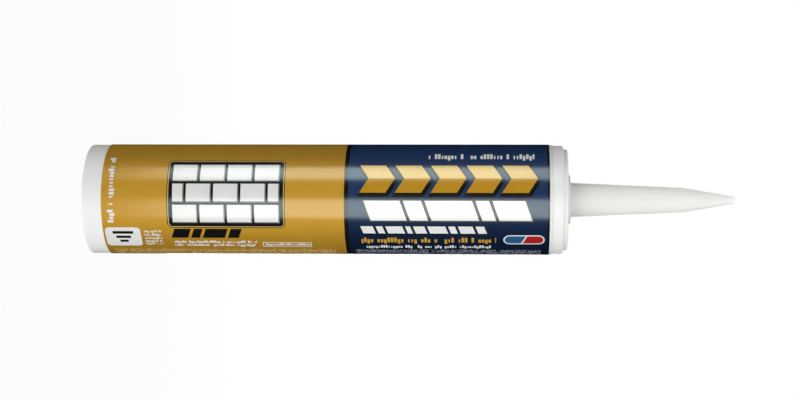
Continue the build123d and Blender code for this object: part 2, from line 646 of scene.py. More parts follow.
@dataclass(frozen=True)
class PrintedFilm:
    """The glossy film, with its fields of colour and a plain design of bricks and chevrons.

    Sizes are millimetres. The grounds' painted shade is given as angles from the front's centre
    line, each with its depth.
    """

    name: str
    radius: float
    rear_edge: float
    length: float
    roughness: float = 0.20
    wear: float = 0.04
    gloss: float = 0.36
    refraction: float = 1.56
    sheen_tint: Colour = (0.80, 1.0, 0.93)
    lustre: float = 0.035
    varnish: float = 0.34
    gilt_contrast: float = 4.0
    mottle_size: float = 5.0
    mottle_depth: float = 0.05
    ripple_size: float = 11.0
    ripple_depth: float = 0.02
    peel_size: float = 1.3
    peel_depth: float = 0.0016
    gold_end: float = 108.75
    rule_width: float = 1.9
    front_rule: float = 0.9
    edge: float = 0.05
    slant: float = 0.35
    back_shift: float = 124.0
    # Painted shade: the gold and dark blue grounds darken towards the film's sides and lower edge,
    # standing in for light falling off round the barrel.
    gold_painted_shade: tuple[ShadeStop, ...] = (
        (-180.0, 0.88),
        (-110.0, 0.86),
        (-77.0, 0.92),
        (-60.0, 0.81),
        (-49.0, 0.74),
        (-40.0, 0.86),
        (-25.0, 1.0),
        (22.0, 1.0),
        (35.0, 0.85),
        (44.0, 0.73),
        (57.0, 0.65),
        (75.0, 0.65),
        (115.0, 0.78),
        (180.0, 0.88),
    )
    navy_painted_shade: tuple[ShadeStop, ...] = (
        (-180.0, 0.75),
        (-110.0, 0.82),
        (-60.0, 0.84),
        (-40.0, 0.88),
        (0.0, 0.80),
        (14.0, 0.66),
        (27.0, 0.47),
        (35.0, 0.39),
        (41.0, 0.32),
        (52.0, 0.26),
        (64.0, 0.25),
        (90.0, 0.30),
        (130.0, 0.5),
        (180.0, 0.75),
    )

    def material(self) -> bpy.types.Material:
        """Makes the film.

        Returns:
            The material.
        """
        shader = Shader(self.name)
        point = shader.place()
        parts = shader.node("ShaderNodeSeparateXYZ", None, {0: point}).outputs
        turn = Value(shader, parts[0]).math("ARCTAN2", -1.0 * Value(shader, parts[1]))
        along = Value(shader, parts[2]) - self.rear_edge
        plate = PrintPlate(shader, along, turn * self.radius, self.edge)
        for draw in (self.fields, self.gold_field, self.navy_field, self.capsule, self.back):
            draw(plate)
        red, _, blue = shader.node("ShaderNodeSeparateColor", None, {0: plate.colour}).outputs
        warmth = Value(shader, red) - Value(shader, blue)
        gilt = warmth.math("MULTIPLY", self.gilt_contrast, clamp=True)
        mottle = shader.noise(point, self.mottle_size, detail=4.0)
        ripple = shader.noise(shader.place((1.0, 1.0, 0.35)), self.ripple_size, detail=1.0)
        peel = shader.noise(point, self.peel_size)
        surface = shader.surface(
            Base_Color=shader.blend(self.mottle_depth * mottle, plate.colour, (0.0, 0.0, 0.0)),
            Roughness=self.roughness - self.wear / 2 + self.wear * mottle,
            Normal=shader.bump(peel, self.peel_depth, shader.bump(ripple, self.ripple_depth)),
            Metallic=self.lustre,
            IOR=self.refraction,
            Specular_IOR_Level=self.gloss,
            Specular_Tint=self.sheen_tint,
            Coat_Weight=self.varnish * (1.0 - gilt),
            Coat_Roughness=self.roughness,
        )
        return shader.finish(surface)

    def painted_shade_ground(self, plate: PrintPlate, ink: Ink, tones: Sequence[ShadeStop]) -> Socket:
        """A ground with painted shade, printed darker towards its sides.

        Args:
            plate: The film's print.
            ink: The ground's colour at its lightest.
            tones: The painted shade round the film, as angles and depths.

        Returns:
            The printed colour.
        """
        place = plate.round_it / (2 * math.pi * self.radius) + 0.5
        stops = [(angle / 360 + 0.5, (shade_grey, shade_grey, shade_grey)) for angle, shade_grey in tones]
        shade_grey = plate.shader.node("ShaderNodeValToRGB", {"stops": stops}, {0: place}).outputs[0]
        return plate.shader.blend(1.0, ink.value, shade_grey, "MULTIPLY")

    def fields(self, plate: PrintPlate) -> None:
        """Prints the gold and dark blue fields, and the dark rules at their ends.

        Args:
            plate: The film's print.
        """
        past_end = self.length + 5.0
        # Both grounds carry painted shade, darker towards the film's sides.
        plate.colour = self.painted_shade_ground(plate, Ink.GOLD, self.gold_painted_shade)
        navy = self.painted_shade_ground(plate, Ink.NAVY, self.navy_painted_shade)
        for start, ink in (
            (self.gold_end, Ink.BLACK),
            (self.gold_end + self.rule_width, navy),
            (self.length - self.front_rule, Ink.BLACK),
        ):
            plate.lay(plate.band(plate.along, start, past_end), ink)

    def gold_field(self, plate: PrintPlate) -> None:
        """Prints the front of the gold field: a brick panel, small marks and a white badge.

        Args:
            plate: The film's print.
        """
        wall = Area(31.5, 80.5, -17.0, 11.5)
        inner_corner = 0.4
        for border, ink in ((2.0, Ink.BLACK), (1.6, Ink.HAIRLINE), (1.2, Ink.BLACK)):
            plate.lay(plate.rounded(wall.grown(border), inner_corner + border), ink)
        courses = 3
        brick_length = 12.25
        joint = 1.1
        shade = 0.5
        bricks = plate.bricks(wall, courses, brick_length, joint)
        plate.lay(bricks, Ink.GREY)
        lit = plate.bricks(wall.moved(-shade, -shade), courses, brick_length, joint)
        plate.lay(bricks & lit, Ink.WHITE)
        title = Area(31.5, 62.0, 14.0, 19.2)
        words = plate.blocks(title, (7.5, 4.0, 10.0, 5.0), gap=1.3, slant=self.slant)
        plate.lay(words, Ink.BLACK)
        frame_area = Area(71.5, 93.5, 22.0, 25.6)
        frame_line = 0.35
        boxed = frame_area.grown(-0.75)
        upright = Area(2.6, 6.0, -21.0, 11.0)
        small_marks = (
            plate.type_lines(Area(31.5, 69.0, 20.8, 25.6), lines=2, letter=0.95, ink=0.9, seed=3.0)
            | (plate.box(frame_area) & (1.0 - plate.box(frame_area.grown(-frame_line))))
            | plate.type_lines(boxed, lines=1, letter=1.05, ink=0.95, seed=11.0)
            | plate.type_lines(Area(18.6, 26.4, 14.5, 24.5), lines=5, letter=0.7, ink=0.8, seed=17.0)
            | plate.type_lines(upright, lines=1, letter=1.6, ink=1.0, seed=5.0, upright=True)
        )
        plate.lay(small_marks, Ink.WHITE)
        plate.lay(plate.rounded(Area(0.9, 16.9, 13.4, 25.0), corner=2.0), Ink.WHITE)
        bar_pitch = 2.6
        bar_inset = 1.4
        for place in range(3):
            inset = place * bar_inset
            bar = Area(4.2 + inset, 13.6 - inset, 15.4, 16.9).moved(0.0, place * bar_pitch)
            plate.lay(plate.box(bar), Ink.BLACK)

    def navy_field(self, plate: PrintPlate) -> None:
        """Prints the front of the dark blue field: gold chevrons, leaning blocks and small marks.

        Args:
            plate: The film's print.
        """
        row = Area(115.5, 194.5, -16.2, -3.0)
        count = 5
        share = 0.74
        lean = 0.62
        shadow = plate.chevrons(row.moved(0.5, 0.9), count, share, lean, grown=1.1)
        plate.lay(shadow, Ink.BLACK)
        upper_half = plate.band(plate.round_it, row.top - 2.0, row.centre[1])
        gold = plate.shader.blend(upper_half, Ink.DEEP_GOLD.value, Ink.PALE_GOLD.value)
        plate.lay(plate.chevrons(row, count, share, lean), gold)
        bold = Area(119.0, 193.0, 0.5, 9.6)
        lengths = (16.0, 8.0, 21.0, 6.0, 14.5)
        gap = 1.5
        line = 0.7
        outer = tuple(length + 2 * line for length in lengths)
        outline = plate.blocks(bold.grown(line), outer, gap - 2 * line, -self.slant)
        plate.lay(outline, Ink.OLIVE)
        plate.lay(plate.blocks(bold, lengths, gap, -self.slant), Ink.WHITE)
        dashes = (5.5, 3.0, 7.5, 2.2, 5.0, 8.0, 3.0, 6.5, 3.8)
        words = Area(116.5, 175.0, 12.4, 16.2)
        for area, ink in ((words.grown(0.5).moved(0.3, 0.2), Ink.BLACK), (words, Ink.WHITE)):
            plate.lay(plate.blocks(area, dashes, gap=1.3, slant=-self.slant), ink)
        for area, letter, seed, ink in (
            (Area(118.0, 175.0, 23.8, 26.6), 1.1, 31.0, Ink.WHITE),
            (Area(146.0, 193.0, -23.8, -19.2), 1.45, 37.0, Ink.WHITE),
            (Area(116.0, 176.0, 18.5, 22.6), 1.5, 41.0, Ink.GOLD),
        ):
            plate.lay(plate.type_lines(area, lines=1, letter=letter, ink=0.98, seed=seed), ink)

    @staticmethod
    def capsule(plate: PrintPlate) -> None:
        """Prints the round-ended mark of two colours, with its white outline.

        Args:
            plate: The film's print.
        """
        area = Area(179.3, 197.6, 17.0, 22.8)
        corner = area.height / 2 - 0.01
        rim = 0.6
        half_gap = 0.35
        past_end = 9.0
        plate.lay(plate.rounded(area, corner), Ink.WHITE)
        inner = plate.rounded(area.grown(-rim), corner - rim)
        middle, level = area.centre
        lean = plate.slanted(slant=0.5, pivot=level)
        plate.lay(inner & plate.band(lean, area.low - past_end, middle - half_gap), Ink.BLUE)
        plate.lay(inner & plate.band(lean, middle + half_gap, area.high + past_end), Ink.RED)

    def back(self, plate: PrintPlate) -> None:
        """Prints the small marks that run along the lower side and fill the back.

        Args:
            plate: The film's print.
        """
        rows = plate.type_grid(pitch=1.5, letter=0.8, seed=50.0)
        for low, high, ink in ((3.0, 104.0, Ink.FAINT_GOLD), (113.0, 196.0, Ink.FAINT_BLUE)):
            plate.lay(rows & plate.box(Area(low, high, 27.9, 46.1)), ink)
        other_side = plate.round_it.math("LESS_THAN", 0.0)
        turned = plate.round_it + other_side * self.back_shift
        behind = PrintPlate(plate.shader, plate.along, turned, plate.edge)
        line_pitch = 1.75
        rule_pitch = 2 * line_pitch
        first_rule = 53.4
        rule_strength = 0.6
        past_rule = ((turned - first_rule) / rule_pitch).fraction() * rule_pitch
        rules = behind.band(past_rule, -0.1, 0.12)
        panel = plate.rounded(Area(54.0, 103.0, -76.0, -52.6), corner=1.2)
        plate.lay(panel & (1.0 - rule_strength * rules), Ink.WHITE)
        other_seed = 37.0
        rows = behind.type_grid(line_pitch, letter=0.9, seed=130.0, shift=other_side * other_seed)
        most_early = 12.0
        early = most_early * plate.chance((turned / line_pitch).floor(), other_side)
        text_height = behind.band(turned, 54.1, 74.9)
        for spans, ink in (
            (((5.0, 50.0), (56.0, 101.0)), Ink.BLACK),
            (((116.0, 152.0), (157.0, 194.0)), Ink.WHITE),
        ):
            first, second = (behind.band(plate.along, low, high - early) for low, high in spans)
            plate.lay(rows & (first | second) & text_height, ink)
        for low, ink, lengths in (
            (5.0, Ink.BLACK, (14.0, 8.0, 10.0)),
            (116.0, Ink.GOLD, (10.0, 16.0, 6.0, 20.0)),
        ):
            heading = Area(low, low + 70.0, 49.0, 52.0)
            plate.lay(behind.blocks(heading, lengths, gap=1.4, slant=-self.slant), ink)


class Bench:
    """Modelling steps on the object in hand, made with the operators that a hand would use."""

    @staticmethod
    def clear() -> None:
        """Leaves edit mode and deselects everything."""
        if bpy.context.mode != "OBJECT":
            bpy.ops.object.mode_set(mode="OBJECT")
        bpy.ops.object.select_all(action="DESELECT")

    @staticmethod
    def start(name: str, mode: str = "VERT") -> None:
        """Names the shape that was just added, and opens it in edit mode with all selected.

        Args:
            name: The object's name.
            mode: What is picked in it, VERT or FACE.
        """
        bpy.context.object.name = name
        bpy.ops.object.transform_apply(location=True, rotation=True, scale=True)
        bpy.ops.object.mode_set(mode="EDIT")
        bpy.ops.mesh.select_mode(type=mode)
        bpy.ops.mesh.select_all(action="SELECT")

    @staticmethod
    def turn(name: str, sides: int, rings: Sequence[Ring]) -> None:
        """Starts a turned object: a circle that is drawn from ring to ring.

        Args:
            name: The new object's name.
            sides: How many vertices a ring has.
            rings: Each ring's radius and height, in metres.
        """
        radius, height = rings[0]
        Bench.clear()
        bpy.ops.mesh.primitive_circle_add(
            vertices=sides, radius=radius, fill_type="NOTHING", location=(0.0, 0.0, height)
        )
        Bench.start(name)
        Bench.draw(rings)

    @staticmethod
    def draw(rings: Sequence[Ring]) -> None:
        """Extrudes the selected circle from ring to ring, where the first ring is its own."""
        for (radius, height), (next_radius, next_height) in zip(rings, rings[1:]):
            rise = (0.0, 0.0, next_height - height)
            bpy.ops.mesh.extrude_region_move(TRANSFORM_OT_translate={"value": rise})
            scale = next_radius / radius
            bpy.ops.transform.resize(
                value=(scale, scale, 1.0), center_override=(0.0, 0.0, next_height)
            )

    @staticmethod
    def turn_closed(
        name: str, sides: int, outside: Sequence[Ring], inside: Sequence[Ring]
    ) -> None:
        """Turns an object that has two sides, and ends each with a flat face.

        Args:
            name: The new object's name.
            sides: How many vertices a ring has.
            outside: The outer side's rings.
            inside: The inner side's rings, of which the first is the outer side's first.
        """
        Bench.turn(name, sides, outside)
        bpy.ops.mesh.edge_face_add()
        Bench.pick_ring(inside[0])
        Bench.draw(inside)
        bpy.ops.mesh.edge_face_add()
        Bench.weld()

    @staticmethod
    def pick(wanted: Callable[[Vector], bool]) -> bool:
        """Selects the edges and faces whose corners all lie in a wanted place.

        Args:
            wanted: Says whether a corner's place is wanted.

        Returns:
            Whether there was any such corner.
        """
        bpy.ops.mesh.select_all(action="DESELECT")
        data = bpy.context.object.data
        mesh = bmesh.from_edit_mesh(data)
        found = [vertex for vertex in mesh.verts if wanted(vertex.co)]
        for vertex in found:
            vertex.select = True
        mesh.select_flush(True)
        bmesh.update_edit_mesh(data)
        return bool(found)

    @staticmethod
    def pick_ring(ring: Ring) -> None:
        """Selects one ring of a turned object.

        Args:
            ring: The ring's radius and height, in metres.
        """
        radius, height = ring
        slack = 1e-6

        def on_ring(place: Vector) -> bool:
            """Whether a corner lies on the ring."""
            off_radius = abs(math.hypot(place.x, place.y) - radius)
            return abs(place.z - height) < slack and off_radius < slack

        if not Bench.pick(on_ring):
            raise ValueError(f"there is no ring of radius {radius} at height {height}")

    @staticmethod
    def soften(rounds: Sequence[tuple[float, float, float]], steps: int) -> None:
        """Rounds rings, each given by its radius, its height and its round's reach in metres."""
        for radius, height, size in rounds:
            Bench.pick_ring((radius, height))
            bpy.ops.mesh.bevel(
                offset=size, offset_type="OFFSET", segments=steps, profile=0.5, affect="EDGES"
            )

    @staticmethod
    def weld() -> None:
        """Selects everything and merges corners that lie on each other."""
        bpy.ops.mesh.select_all(action="SELECT")
        bpy.ops.mesh.remove_doubles(threshold=1e-7)

    @staticmethod
    def close() -> bpy.types.Object:
        """Welds the object, turns its faces outwards and shades it smooth.

        Returns:
            The finished object, in object mode.
        """
        smooth_angle = 32.0
        Bench.weld()
        bpy.ops.mesh.normals_make_consistent(inside=False)
        bpy.ops.object.mode_set(mode="OBJECT")
        bpy.ops.object.shade_smooth_by_angle(angle=math.radians(smooth_angle))
        return bpy.context.object

    @staticmethod
    def dress(made: bpy.types.Object, material: bpy.types.Material) -> None:
        """Gives an object one material."""
        made.data.materials.clear()
        made.data.materials.append(material)


class Piece:
    """One of the cartridge's real pieces, which has a shape and a finish."""

    finish: Plastic | Foil | Paste | PrintedFilm

    def build(self) -> bpy.types.Object:
        """Models the piece."""
        raise NotImplementedError


@dataclass
class Barrel(Piece):
    """The extruded tube: a capped cylinder whose ends are inset, opened and bridged."""

    name: str = "barrel_tube"
    wall: float = 1.3 * MM
    rear_round: float = 0.45 * MM
    front_round: float = 0.15 * MM
    sides: int = 256
    finish: Plastic = Plastic(
        "barrel_plastic", colour=(0.84, 0.845, 0.83), roughness=0.36, grain=Grain.EXTRUDED
    )

    def build(self) -> bpy.types.Object:
        """Models the tube.

        Returns:
            The tube.
        """
        low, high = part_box("barrel")
        radius = (high.x - low.x) / 2
        length = high.z - low.z
        bore = radius - self.wall
        middle = radius - self.wall / 2
        Bench.clear()
        bpy.ops.mesh.primitive_cylinder_add(
            vertices=self.sides, radius=radius, depth=length, location=(0.0, 0.0, length / 2)
        )
        Bench.start(self.name, "FACE")
        self.pick_caps()
        bpy.ops.mesh.inset(thickness=self.wall, use_individual=True)
        bpy.ops.mesh.delete(type="ONLY_FACE")
        bpy.ops.mesh.select_mode(type="VERT")
        Bench.pick(lambda place: math.hypot(place.x, place.y) < middle)
        bpy.ops.mesh.bridge_edge_loops()
        Bench.soften([(radius, 0.0, self.rear_round)], steps=4)
        fine = [(bore, 0.0, self.front_round), (radius, length, self.front_round)]
        Bench.soften(fine, steps=3)
        return Bench.close()

    @staticmethod
    def pick_caps() -> None:
        """Selects the faces that look straight up or down."""
        upright = 0.9
        bpy.ops.mesh.select_all(action="DESELECT")
        data = bpy.context.object.data
        for face in bmesh.from_edit_mesh(data).faces:
            face.select = abs(face.normal.z) > upright
        bmesh.update_edit_mesh(data)


@dataclass
class Film(Piece):
    """The wrapped label: a thin tube, whose lap is raised from its outer faces."""

    name: str = "label_wrap"
    thickness: float = 0.1 * MM
    lap_width: float = 7.0 * MM
    ramp_steps: int = 3
    sides: int = 360

    @property
    def finish(self) -> PrintedFilm:
        """The print, at the film's own size."""
        low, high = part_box("label_film")
        return PrintedFilm("printed_film", -low.y / MM, low.z / MM, (high.z - low.z) / MM)

    def build(self) -> bpy.types.Object:
        """Models the film.

        Returns:
            The film.
        """
        low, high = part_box("label_film")
        radius = -low.y
        inner = radius - self.thickness
        rings = [(inner, low.z), (radius, low.z), (radius, high.z), (inner, high.z), (inner, low.z)]
        Bench.turn(self.name, self.sides, rings)
        Bench.weld()
        self.raise_lap(radius)
        return Bench.close()

    def raise_lap(self, radius: float) -> None:
        """Lifts the lap off the film's outer side, with a ramp on one side and a step opposite.

        Args:
            radius: The film's outer radius, in metres.
        """
        facets = self.sides / (2 * math.pi)
        half_steps = round(self.lap_width / radius / 2 * facets)

        def steps(place: Vector) -> float:
            """How many facets a corner is from the back's centre line, towards the ramp."""
            return math.atan2(-place.x, place.y) * facets

        def on_lap(place: Vector) -> bool:
            """Whether a corner lies on the outer side, under the lap or its ramp."""
            outside = math.hypot(place.x, place.y) > radius - self.thickness / 2
            return outside and -half_steps - 0.5 < steps(place) < half_steps + self.ramp_steps + 0.5

        bpy.ops.mesh.select_mode(type="FACE")
        Bench.pick(on_lap)
        bpy.ops.mesh.extrude_region_shrink_fatten(
            TRANSFORM_OT_shrink_fatten={"value": -self.thickness, "use_even_offset": True}
        )
        bpy.ops.mesh.select_mode(type="VERT")
        for step in range(1, self.ramp_steps + 1):

            def on_ramp(place: Vector, facet: int = half_steps + step) -> bool:
                """Whether a raised corner lies on this step of the ramp."""
                raised = math.hypot(place.x, place.y) > radius + self.thickness / 2
                return raised and abs(steps(place) - facet) < 0.5

            Bench.pick(on_ramp)
            lowered = radius + self.thickness * (1 - step / self.ramp_steps)
            scale = lowered / (radius + self.thickness)
            bpy.ops.transform.resize(value=(scale, scale, 1.0), center_override=(0.0, 0.0, 0.0))


@dataclass
class Head(Piece):
    """The moulded head and its nozzle: one wall, drawn ring by ring from the skirt's foot."""

    name: str = "head_moulding"
    skirt_lead_in: float = 0.5 * MM
    skirt_wall: float = 1.5 * MM
    skirt_clearance: float = 0.05 * MM
    collar_height: float = 5.3 * MM
    collar_round: float = 1.25 * MM
    seat_round: float = 0.2 * MM
    ring_setback: float = 2.0 * MM
    ring_height: float = 1.8 * MM
    ring_round: float = 0.65 * MM
    ring_foot_round: float = 0.25 * MM
    ring_width: float = 2.7 * MM
    trough_depth: float = 1.5 * MM
    trough_draft: float = 0.5 * MM
    trough_rim_round: float = 0.35 * MM
    trough_foot_round: float = 0.4 * MM
    plate: float = 2.0 * MM
    hub_radius: float = 11.05 * MM
    hub_height: float = 1.45 * MM
    hub_round: float = 0.5 * MM
    nozzle_base: float = 7.75 * MM
    nozzle_shoulder: float = 5.55 * MM
    nozzle_shaft: float = 51.0 * MM
    nozzle_tip: float = 1.45 * MM
    nozzle_wall: float = 1.4 * MM
    foot_round: float = 0.6 * MM
    shoulder_round: float = 1.5 * MM
    tip_round: float = 0.5 * MM
    tip_wall: float = 1.8 * MM
    tip_bore: float = 0.6 * MM
    inlet_flare: float = 3.3 * MM
    inlet_depth: float = 4.0 * MM
    sides: int = 256
    finish: Plastic = Plastic(
        "head_plastic",
        colour=(0.84, 0.85, 0.83),
        roughness=0.34,
        grain=Grain.MOULDED,
        glow=0.2,
        bloom=0.2,
        thin_share=0.45,
        thin_from=218.3,
    )

    def build(self) -> bpy.types.Object:
        """Models the head.

        Returns:
            The head.
        """
        low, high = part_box("head_with_nozzle")
        barrel_low, barrel_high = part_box("barrel")
        barrel_radius = (barrel_high.x - barrel_low.x) / 2
        seat_z = barrel_high.z
        skirt = barrel_radius - Barrel.wall - self.skirt_clearance
        cavity = skirt - self.skirt_wall
        collar = (high.x - low.x) / 2
        collar_top = seat_z + self.collar_height
        ring = barrel_radius - self.ring_setback
        face = collar_top + self.ring_height
        trough = ring - self.ring_width
        trough_foot = trough - self.trough_draft
        trough_z = face - self.trough_depth
        plate_z = trough_z - self.plate
        hub_z = face + self.hub_height
        shoulder_z = hub_z + self.nozzle_shaft
        inlet = self.nozzle_base - self.nozzle_wall
        outside = [
            (cavity, low.z),
            (skirt - self.skirt_lead_in, low.z),
            (skirt, low.z + self.skirt_lead_in),
            (skirt, seat_z),
            (collar, seat_z),
            (collar, collar_top),
            (ring, collar_top),
            (ring, face),
            (trough, face),
            (trough_foot, trough_z),
            (self.hub_radius, trough_z),
            (self.hub_radius, hub_z),
            (self.nozzle_base, hub_z),
            (self.nozzle_shoulder, shoulder_z),
            (self.nozzle_tip, high.z),
        ]
        inside = [
            (cavity, low.z),
            (cavity, plate_z),
            (inlet + self.inlet_flare, plate_z),
            (inlet, plate_z + self.inlet_depth),
            (self.nozzle_shoulder - self.nozzle_wall, shoulder_z),
            (self.tip_bore, high.z - self.tip_wall),
        ]
        rounds = [
            (collar, collar_top, self.collar_round),
            (collar, seat_z, self.seat_round),
            (ring, collar_top, self.ring_foot_round),
            (ring, face, self.ring_round),
            (trough, face, self.trough_rim_round),
            (trough_foot, trough_z, self.trough_foot_round),
            (self.hub_radius, trough_z, self.trough_foot_round),
            (self.hub_radius, hub_z, self.hub_round),
            (self.nozzle_base, hub_z, self.foot_round),
            (self.nozzle_shoulder, shoulder_z, self.shoulder_round),
            (self.nozzle_tip, high.z, self.tip_round),
        ]
        Bench.turn_closed(self.name, self.sides, outside, inside)
        Bench.soften(rounds, steps=5)
        return Bench.close()


@dataclass
class Plunger(Piece):
    """The sliding cup with its two lips, and the boss and ribs on its floor."""

    name: str = "plunger_cup"
    wall: float = 1.3 * MM
    floor: float = 1.5 * MM
    body_length: float = 13.0 * MM
    lip_height: float = 2.4 * MM
    lip_projection: float = 0.6 * MM
    lip_round: float = 0.2 * MM
    rim_round: float = 0.25 * MM
    shoulder_round: float = 0.3 * MM
    nose_radius: float = 21.45 * MM
    nose_round: float = 1.2 * MM
    floor_round: float = 0.5 * MM
    rib_count: int = 8
    rib_thickness: float = 1.1 * MM
    rib_height: float = 3.5 * MM
    rib_taper: float = 0.8
    rib_round: float = 0.2 * MM
    boss_radius: float = 6.0 * MM
    boss_wall: float = 1.2 * MM
    boss_round: float = 0.25 * MM
    boss_sides: int = 64
    sides: int = 192
    finish: Plastic = Plastic(
        "plunger_plastic", colour=(0.76, 0.76, 0.73), roughness=0.4, grain=Grain.MOULDED
    )

    def build(self) -> bpy.types.Object:
        """Models the plunger.

        Returns:
            The plunger, with its web joined to it.
        """
        low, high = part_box("plunger")
        radius = (high.x - low.x) / 2
        waist = radius - self.lip_projection
        cup = waist - self.wall
        bore = self.nose_radius - self.wall
        shoulder = low.z + self.body_length
        floor_z = high.z - self.floor
        outside = [
            (cup, low.z),
            (radius, low.z),
            (radius, low.z + self.lip_height / 2),
            (waist, low.z + self.lip_height),
            (waist, shoulder - self.lip_height),
            (radius, shoulder - self.lip_height / 2),
            (radius, shoulder),
            (self.nose_radius, shoulder),
            (self.nose_radius, high.z),
        ]
        inside = [
            (cup, low.z),
            (cup, shoulder - self.floor),
            (bore, shoulder - self.floor),
            (bore, floor_z),
        ]
        rounds = [
            (radius, low.z, self.lip_round),
            (cup, low.z, self.rim_round),
            (radius, shoulder, self.shoulder_round),
            (self.nose_radius, high.z, self.nose_round),
            (bore, floor_z, self.floor_round),
        ]
        Bench.turn_closed(self.name, self.sides, outside, inside)
        Bench.soften(rounds, steps=4)
        made = Bench.close()
        self.join_web(made, bore, floor_z)
        return made

    def join_web(self, cup: bpy.types.Object, reach: float, floor_z: float) -> None:
        """Adds the boss and ribs that stiffen the floor.

        Args:
            cup: The plunger's cup.
            reach: How far the ribs run from the axis, in metres.
            floor_z: The height of the floor's inner side, in metres.
        """
        foot = floor_z + self.floor / 2
        bottom = floor_z - self.rib_height
        outer = self.boss_radius
        inner = outer - self.boss_wall
        rings = [(inner, foot), (inner, bottom), (outer, bottom), (outer, foot)]
        Bench.turn("plunger_boss", self.boss_sides, rings)
        Bench.soften([(radius, bottom, self.boss_round) for radius in (outer, inner)], steps=3)
        parts = [Bench.close()]
        first = self.make_rib(reach, foot, bottom)
        for place in range(self.rib_count):
            rib = first.copy()
            rib.data = first.data.copy()
            bpy.context.collection.objects.link(rib)
            rib.data.transform(Matrix.Rotation(2 * math.pi * place / self.rib_count, 4, "Z"))
            parts.append(rib)
        bpy.data.objects.remove(first)
        Bench.clear()
        for part in parts:
            part.select_set(True)
        cup.select_set(True)
        bpy.context.view_layer.objects.active = cup
        bpy.ops.object.join()

    def make_rib(self, reach: float, foot: float, bottom: float) -> bpy.types.Object:
        """Models one rib, from the boss to the wall, tapered towards its free edge.

        Args:
            reach: How far it runs from the axis, in metres.
            foot: The height of its root, inside the floor, in metres.
            bottom: The height of its free edge, in metres.

        Returns:
            The rib, along +X.
        """
        start = self.boss_radius - self.boss_wall / 2
        end = reach + self.wall / 2
        Bench.clear()
        bpy.ops.mesh.primitive_cube_add(
            size=1.0,
            location=((start + end) / 2, 0.0, (foot + bottom) / 2),
            scale=(end - start, self.rib_thickness, foot - bottom),
        )
        Bench.start("plunger_rib")
        Bench.pick(lambda place: place.z < (foot + bottom) / 2)
        bpy.ops.transform.resize(
            value=(1.0, self.rib_taper, 1.0), center_override=(0.0, 0.0, bottom)
        )
        bpy.ops.mesh.bevel(offset=self.rib_round, segments=2, affect="EDGES")
        return Bench.close()


@dataclass
class Fill(Piece):
    """The paste between plunger and foil, modelled as one still piece."""

    name: str = "paste_column"
    neck_chamfer: float = 1.2 * MM
    nose_radius: float = 21.75 * MM
    nose_height: float = 10.0 * MM
    neck_radius: float = 22.0 * MM
    skirt_foot: float = 201.7 * MM
    kept_share: float = 0.005
    sides: int = 128
    finish: Paste = Paste("adhesive_paste")

    def build(self) -> bpy.types.Object:
        """Models the paste.

        Returns:
            The paste.
        """
        low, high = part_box("adhesive_fill")
        side = (high.x - low.x) / 2
        outside = [
            (self.nose_radius, low.z),
            (side, low.z),
            (side, self.skirt_foot),
            (self.neck_radius, self.skirt_foot),
            (self.neck_radius, high.z - self.neck_chamfer),
            (self.neck_radius - self.neck_chamfer, high.z),
        ]
        inside = [(self.nose_radius, low.z), (self.nose_radius, low.z + self.nose_height)]
        Bench.turn_closed(self.name, self.sides, outside, inside)
        return Bench.close()


@dataclass
class Seal(Piece):
    """The foil disc, embossed with a shallow ring where it is welded to the head."""

    name: str = "seal_disc"
    land: float = 1.4 * MM
    emboss: float = 0.05 * MM
    emboss_run: float = 0.2 * MM
    sides: int = 128
    finish: Foil = Foil("seal_foil")

    def build(self) -> bpy.types.Object:
        """Models the foil.

        Returns:
            The foil.
        """
        low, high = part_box("inner_seal")
        radius = (high.x - low.x) / 2
        weld = radius - self.land
        top = (radius, high.z)
        lower = [(radius, low.z), (weld, low.z), (weld - self.emboss_run, low.z + self.emboss)]
        Bench.turn_closed(self.name, self.sides, [top, *lower], [top])
        return Bench.close()


def add_light(name: str, width: float, height: float, radiance: float) -> bpy.types.Object:
    """Adds a soft box that the camera doesn't see.

    Args:
        name: The lamp's name.
        width: How wide it is, in metres.
        height: How high it is, in metres.
        radiance: How bright it is.

    Returns:
        The lamp, which faces down from the origin.
    """
    light = bpy.data.lights.new(name, "AREA")
    light.shape = "RECTANGLE"
    light.size = width
    light.size_y = height
    light.energy = math.pi * width * height * radiance
    lamp = bpy.data.objects.new(name, light)
    bpy.context.scene.collection.objects.link(lamp)
    lamp.visible_camera = False
    return lamp


@dataclass(frozen=True)
class Lamp:
    """A soft box that stands upright at one bearing from the cartridge and faces it."""

    name: str
    bearing: float
    width_angle: float
    foot: float
    head: float
    radiance: float
    distance: float = 0.7
    lights_body: bool = True
    lights_gloss: bool = True

    def build(self) -> None:
        """Adds the lamp."""
        width = 2 * self.distance * math.tan(math.radians(self.width_angle / 2))
        lamp = add_light(self.name, width, self.head - self.foot, self.radiance)
        turn = math.radians(self.bearing)
        outward = Vector((math.sin(turn), -math.cos(turn), 0.0))
        lamp.location = outward * self.distance + Vector((0, 0, (self.foot + self.head) / 2))
        lamp.rotation_euler = outward.to_track_quat("Z", "Y").to_euler()
        lamp.visible_diffuse = self.lights_body
        lamp.visible_glossy = self.lights_gloss


